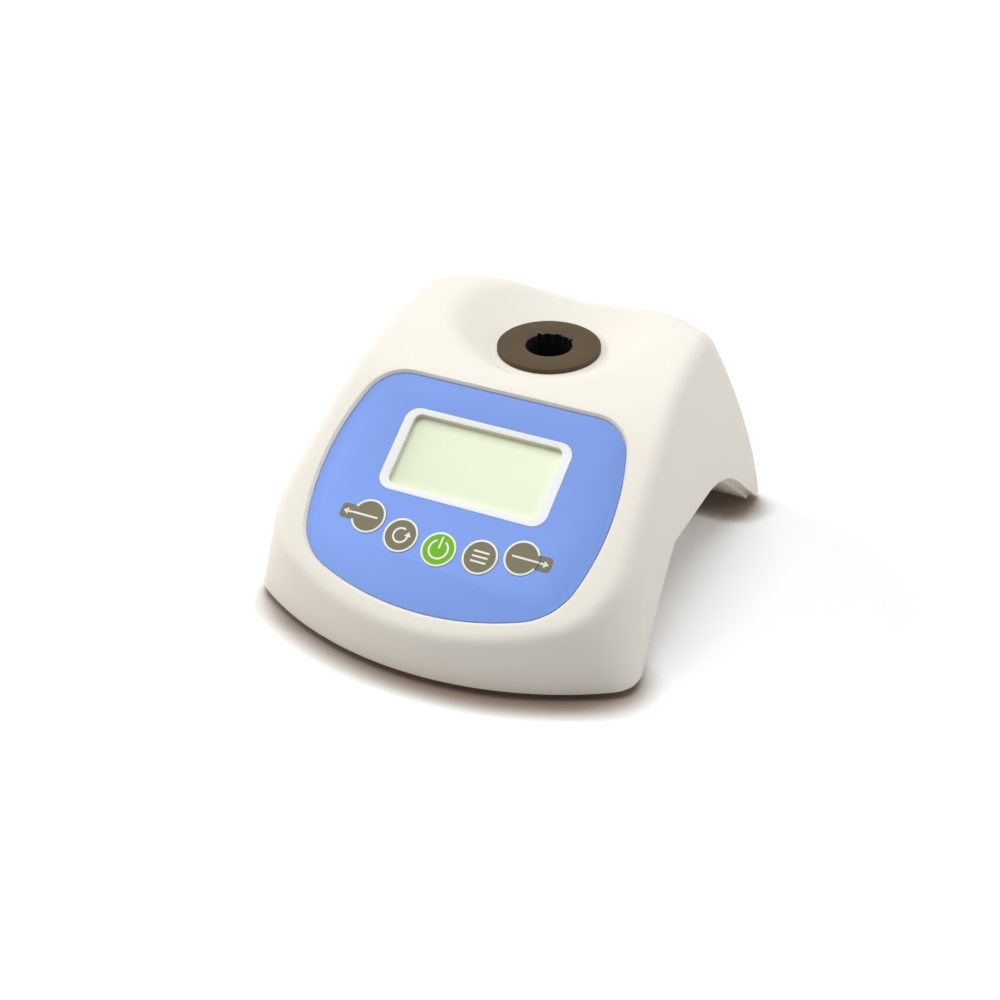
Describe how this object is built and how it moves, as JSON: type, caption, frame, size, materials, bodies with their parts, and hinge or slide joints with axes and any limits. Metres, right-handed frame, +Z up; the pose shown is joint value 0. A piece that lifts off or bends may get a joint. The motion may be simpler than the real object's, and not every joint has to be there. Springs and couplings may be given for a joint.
{
  "type": "laboratory photometer",
  "caption": "Wedge-shaped bench photometer with a tilted key panel, a recessed display and a tube socket in a dished hump over an arched base.",
  "frame": {"origin": "on the table under the middle of the body's box", "axes": "+X to the instrument's right seen from the front, +Y to the back, +Z up"},
  "size_m": [0.149, 0.169, 0.0844],
  "materials": {
    "casing": "finely textured off-white moulding",
    "cover": "plain light grey moulding",
    "overlay": "satin blue film",
    "border": "satin white",
    "display": "matt pale green display face",
    "holder": "plain",
    "glow": "milky",
    "board": "green lacquer",
    "switch": "plain",
    "key_grey": "satin grey-brown film",
    "key_green": "satin green film",
    "socket": "fine matt dark brown",
    "optics": "matt black",
    "lamp": "clear tinted",
    "filter": "clear tinted",
    "steel": "plated",
    "lead_red": "insulated lead",
    "lead_yellow": "insulated lead",
    "ribbon": "flat cable",
    "inlet": "plain black",
    "foot": "matt black"
  },
  "bodies": {
    "casing": {"upper_shell": "casing", "base_cover": "cover", "panel_overlay": "overlay", "display_border": "border", "display_glass": "display", "display_holder": "holder", "display_glow": "glow", "keypad_board": "board", "main_board": "board", "key_switches": "switch", "board_parts": "switch", "socket_insert": "socket", "socket_nut": "optics", "optical_block": "optics", "lamp": "lamp", "beam_filter": "filter", "keypad_screws": "steel", "block_screws": "steel", "detector": "steel", "board_screws": "steel", "inlet_nut": "steel", "case_screws": "steel", "lamp_wires": "lead_red", "inlet_wires": "lead_red", "detector_wires": "lead_yellow", "ribbon_cable": "ribbon", "dc_inlet": "inlet", "foot_front_left": "foot", "foot_front_right": "foot", "foot_rear_left": "foot", "foot_rear_right": "foot"},
    "key_far_left": {"key_far_left": "key_grey"},
    "key_left": {"key_left": "key_grey"},
    "key_power": {"key_power": "key_green"},
    "key_right": {"key_right": "key_grey"},
    "key_far_right": {"key_far_right": "key_grey"}
  },
  "joints": [
    {"name": "key_far_left_press", "type": "slide", "parent": "casing", "child": "key_far_left", "axis": [0, 0.5548, -0.832], "range_m": [0, 0.0005], "stiffness_N_per_m": 1500},
    {"name": "key_left_press", "type": "slide", "parent": "casing", "child": "key_left", "axis": [0, 0.5548, -0.832], "range_m": [0, 0.0005], "stiffness_N_per_m": 1500},
    {"name": "key_power_press", "type": "slide", "parent": "casing", "child": "key_power", "axis": [0, 0.5548, -0.832], "range_m": [0, 0.0005], "stiffness_N_per_m": 1500},
    {"name": "key_right_press", "type": "slide", "parent": "casing", "child": "key_right", "axis": [0, 0.5548, -0.832], "range_m": [0, 0.0005], "stiffness_N_per_m": 1500},
    {"name": "key_far_right_press", "type": "slide", "parent": "casing", "child": "key_far_right", "axis": [0, 0.5548, -0.832], "range_m": [0, 0.0005], "stiffness_N_per_m": 1500}
  ]
}
